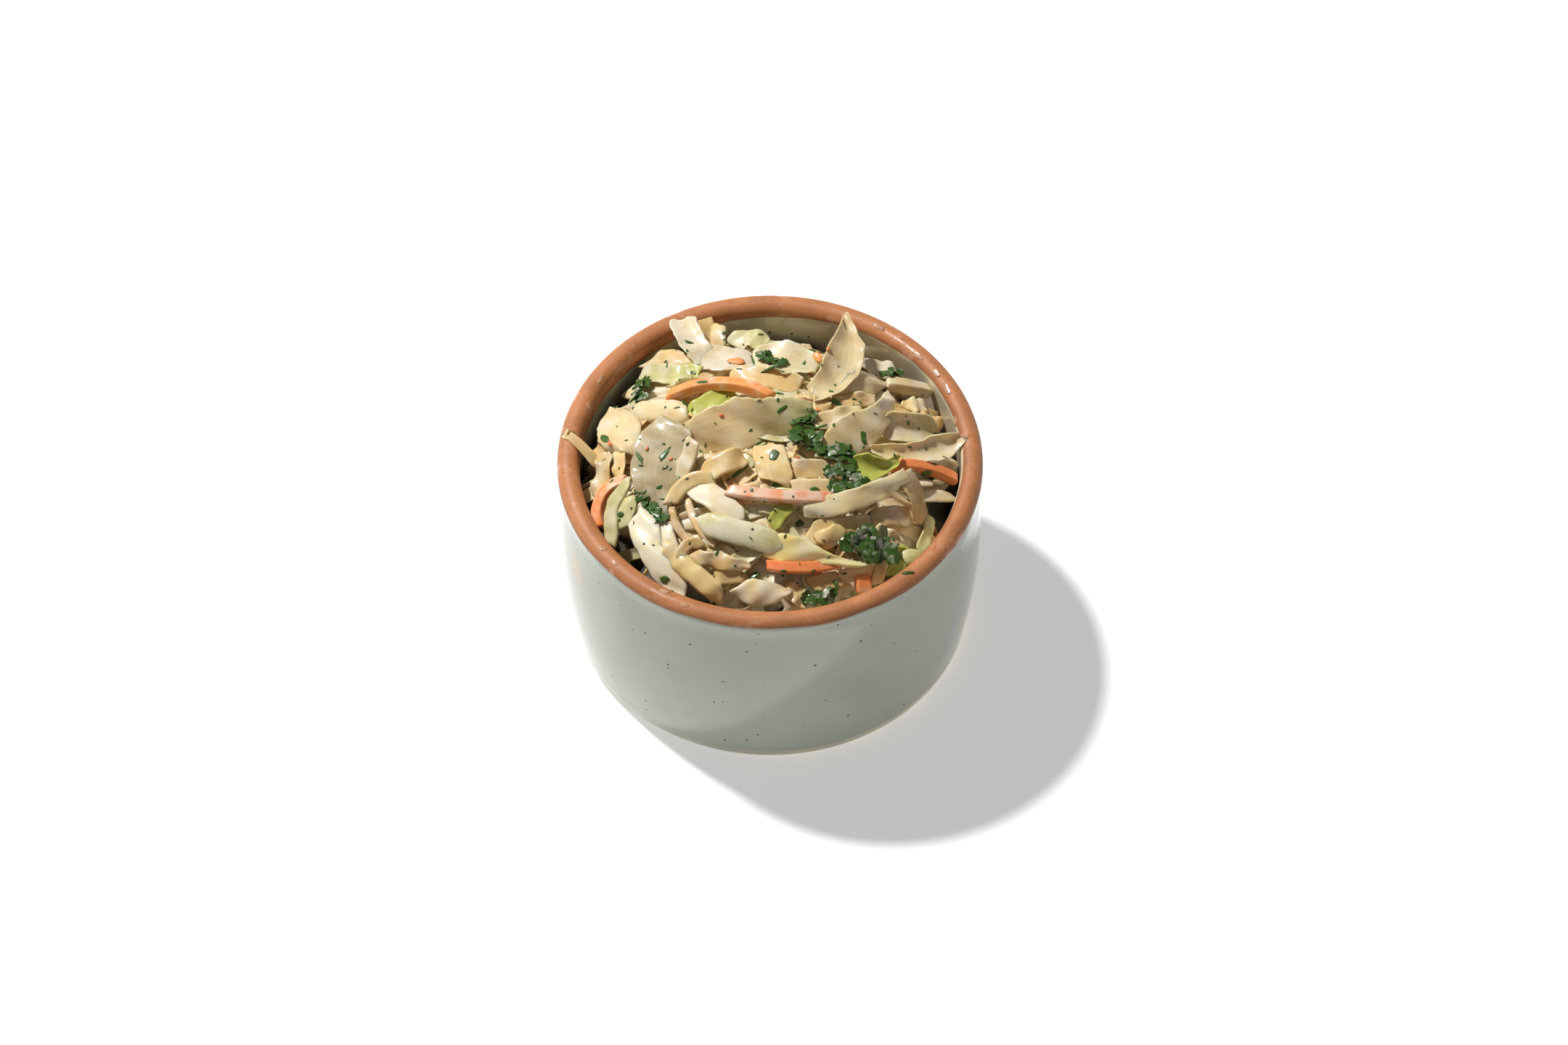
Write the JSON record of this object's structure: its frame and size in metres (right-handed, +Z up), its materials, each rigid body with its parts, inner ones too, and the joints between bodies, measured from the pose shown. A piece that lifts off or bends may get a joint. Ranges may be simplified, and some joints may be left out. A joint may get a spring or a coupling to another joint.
{
  "type": "coleslaw in a bowl",
  "caption": "Heaped coleslaw of cabbage leaves and shreds, carrot sticks and parsley in creamy dressing, in a small grey-green stoneware bowl with a bare clay rim",
  "frame": {"origin": "the middle of the bowl's foot, on the surface it stands on", "axes": "+Z up out of the bowl, -Y towards the front, +X to the right"},
  "size_m": [0.11, 0.11, 0.0789],
  "materials": {
    "bowl_stoneware": "glossy speckled grey-green glaze, bare terracotta clay at the lip",
    "coleslaw_salad": "wet food coated in creamy dressing"
  },
  "bodies": {
    "root": {"bowl": "bowl_stoneware", "coleslaw": "coleslaw_salad"}
  },
  "joints": []
}
